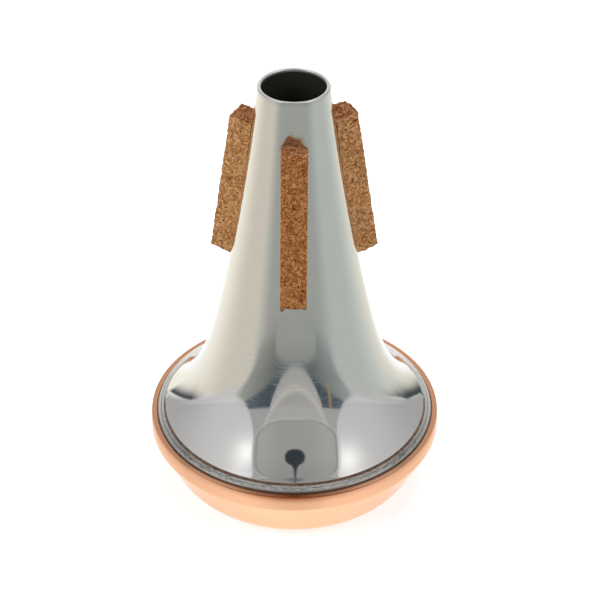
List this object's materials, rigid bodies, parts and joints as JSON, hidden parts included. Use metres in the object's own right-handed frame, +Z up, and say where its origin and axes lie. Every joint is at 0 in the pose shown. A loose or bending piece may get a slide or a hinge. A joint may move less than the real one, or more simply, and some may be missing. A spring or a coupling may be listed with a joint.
{
  "type": "trumpet straight mute",
  "caption": "Hollow flared metal mute, open at the small end and closed by a cup-shaped base, with cork strips that wedge it in a trumpet bell.",
  "frame": {"origin": "middle of the flat round face under the copper cup, on which the mute stands", "axes": "+Z up along the axis of the mute to its open small end; the front cork strip faces -Y; +X to the right"},
  "size_m": [0.108, 0.108, 0.1657],
  "materials": {
    "aluminium": "polished spun aluminium, with a turned, tool-marked bead at the foot",
    "copper": "satin polished copper, lacquered",
    "cork": "pressed granulated cork, cut and sanded"
  },
  "bodies": {
    "root": {"base_cup": "copper", "cone_shell": "aluminium", "cork_front": "cork", "cork_left": "cork", "cork_right": "cork"}
  },
  "joints": []
}
